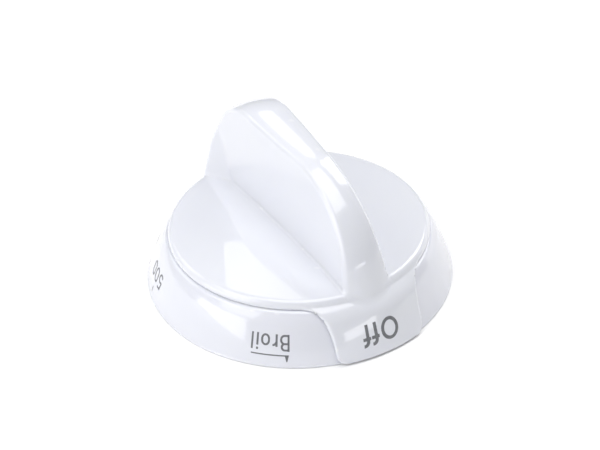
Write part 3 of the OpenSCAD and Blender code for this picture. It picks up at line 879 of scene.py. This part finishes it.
def build_knob():
    pale = (0.80, 0.815, 0.87)
    # The third colour of each plastic is a painted sheen, lighter, on its sharp outer edges.
    white = moulded_plastic("front_plastic", pale, (0.785, 0.80, 0.86), (0.84, 0.85, 0.89))
    dial_white = moulded_plastic("skirt_plastic", (0.79, 0.80, 0.865), (0.77, 0.785, 0.85), (0.83, 0.84, 0.885))
    zinc = plated_steel("plate_steel", (0.62, 0.62, 0.6), (0.5, 0.5, 0.5), 0.36, 0.0012)
    screw_zinc = plated_steel("screw_steel", (0.68, 0.67, 0.62), (0.56, 0.56, 0.55), 0.28, 0.0006)
    spring = plated_steel("spring_steel", (0.3, 0.31, 0.33), (0.2, 0.21, 0.24), 0.33, 0.0005)
    grey = printed_ink("ink", (0.15, 0.155, 0.17), (0.21, 0.215, 0.23))

    top = front_high[2] + 1
    main = skin(front, (-31, front_low[1] - 1, -0.3), (31, 31, top), 0.46, 1, math.radians(20))
    fine_hub = skin(hub, (-6.5, -6.5, 1), (6.5, 6.5, 13.4), 0.4, 1)
    place(mesh_object("knob_front", [main, fine_hub]), "handle", white, "front")

    ring = skin(dial_skirt, (-36, -36, -1), (36, 36, SKIRT_H + 1), 0.48)
    teeth = skin(scale_teeth, (-8, 22, 5), (8, 28.5, 7.5), 0.2, 1)
    place(mesh_object("knob_skirt", [ring, teeth]), "dial", dial_white, "dial_skirt")

    disc = skin(clamp_plate, (-22.5, -22.5, PLATE_Z - 1), (22.5, POINTER_REACH + 1, PLATE_TOP + 1), 0.4)
    place(mesh_object("knob_clamp_plate", [disc]), "handle", zinc, "clamp_plate")

    fastener = skin(screw, (-4, -4, screw_low[2] - 0.5), (4, 4, screw_high[2] + 0.5), 0.16, 1)
    for side, x in (("left", -SCREW_X), ("right", SCREW_X)):
        obj = mesh_object("knob_screw_" + side, [fastener], (x, 0, 0))
        place(obj, "handle", screw_zinc, "screw_" + side)

    band = skin(shaft_clip, (-7, -7, clip_low[2] - 0.5), (7, 7.5, clip_high[2] + 0.5), 0.2, 1)
    place(mesh_object("knob_shaft_clip", [band]), "handle", spring, "shaft_clip")

    ink("mark_off", Label("Off", 5.15, 0.76), -0.5, 7.75, PAD_OUT, "handle", grey)
    ink("mark_broil", Label("Broil", 3.8, 0.46, 1.07, broil_tick), -42, 7.2, 0, "dial", grey)
    for index, number in enumerate(NUMBERS):
        label = Label(number, 3.8, 0.46, 1.25, wedge_tick)
        ink("mark_" + number, label, FIRST_NUMBER - index * NUMBER_STEP, 7.3, 0, "dial", grey)


def build_floor():
    mesh = bpy.data.meshes.new("floor")
    size = 3.0
    mesh.from_pydata([(-size, -size, 0), (size, -size, 0), (size, size, 0), (-size, size, 0)], [], [(0, 1, 2, 3)])
    floor = bpy.data.objects.new("floor", mesh)
    bpy.context.scene.collection.objects.link(floor)
    floor.location.z = -0.00002
    shader = Shader("floor_paper")
    paper = shader.ramp(shader.noise(0.2, 2.0), (0.3, (0.9, 0.9, 0.9)), (0.7, (0.93, 0.93, 0.93)))
    shader.link(paper, shader.base.inputs["Base Color"])
    shader.base.inputs["Roughness"].default_value = 0.9
    shader.base.inputs["Specular IOR Level"].default_value = 0.1
    shader.base.inputs["Emission Color"].default_value = (1, 1, 1, 1)
    shader.base.inputs["Emission Strength"].default_value = 0.05
    floor.data.materials.append(shader.material)


CAMERA_TURN = math.radians(30.2)
CAMERA_RISE = math.radians(36.26)
CAMERA_ROLL = math.radians(1.72)
CAMERA_AIM = Vector((0.2995, 0, 12.178)) * MM
CAMERA_DISTANCE = 0.35
FOCAL_PIXELS = 1550.27
IMAGE_WIDTH = 600


def build_camera():
    """The photograph's camera: a long lens that looks down on the pad's left side."""
    forward = Vector((0, math.cos(CAMERA_RISE), -math.sin(CAMERA_RISE)))
    right = Vector((1, 0, 0))
    up = right.cross(forward)
    lean = math.sin(CAMERA_ROLL)
    level = math.cos(CAMERA_ROLL)
    across = right * level - up * lean
    upward = right * lean + up * level
    spin = Matrix.Rotation(-CAMERA_TURN, 4, "Z")
    turn = Matrix((across, upward, -forward)).transposed().to_4x4()
    camera = bpy.data.objects.new("camera", bpy.data.cameras.new("camera"))
    camera.matrix_world = spin @ Matrix.Translation(CAMERA_AIM - forward * CAMERA_DISTANCE) @ turn
    camera.data.sensor_width = 36.0
    camera.data.lens = FOCAL_PIXELS * camera.data.sensor_width / IMAGE_WIDTH
    camera.data.clip_start = 0.01
    camera.data.clip_end = 20.0
    bpy.context.scene.collection.objects.link(camera)
    bpy.context.scene.camera = camera


def softbox(name, azimuth, rise, distance, width, height, power, colour=(1, 1, 1)):
    """A rectangular light that faces the knob, azimuth 0 on the camera's side of the pad."""
    a, e = math.radians(azimuth), math.radians(rise)
    away = Vector((math.sin(a) * math.cos(e), -math.cos(a) * math.cos(e), math.sin(e)))
    data = bpy.data.lights.new(name, "AREA")
    data.shape = "RECTANGLE"
    data.size = width
    data.size_y = height
    data.energy = power
    data.color = colour
    light = bpy.data.objects.new(name, data)
    light.location = Vector((0, 0, 0.015)) + away * distance
    light.rotation_mode = "QUATERNION"
    light.rotation_quaternion = (-away).to_track_quat("-Z", "Y")
    bpy.context.scene.collection.objects.link(light)


# Softboxes: direction and rise in degrees, width and height in metres at a metre's distance, power
LIGHTS = (
    ("overhead", 10, 82, 0.8, 0.88, 7.0),
    ("left_high", -100, 50, 0.5, 0.45, 1.9),
    ("left_mid", -80, 30, 0.5, 0.4, 1.6),
    ("low_left", -90, 6, 0.74, 0.36, 2.8),
    ("low_right", 100, 8, 0.6, 0.45, 1.1),
    ("back_right", 110, 45, 0.5, 0.45, 3.3),
    ("back_left", -152, 38, 0.5, 0.45, 1.1),
    ("window", 150.5, 44.5, 0.22, 0.19, 0.32),
    ("low_front", 10, 1.9, 0.42, 0.06, 0.38),
)


def build_lights():
    world = bpy.data.worlds.new("studio")
    world.use_nodes = True
    background = world.node_tree.nodes["Background"]
    background.inputs["Color"].default_value = (1, 1, 1, 1)
    background.inputs["Strength"].default_value = 0.06
    bpy.context.scene.world = world
    for name, azimuth, rise, width, height, power in LIGHTS:
        softbox(name, azimuth, rise, 1.0, width, height, power)


bpy.context.scene.view_settings.view_transform = "Standard"
build_camera()
build_knob()
build_floor()
build_lights()
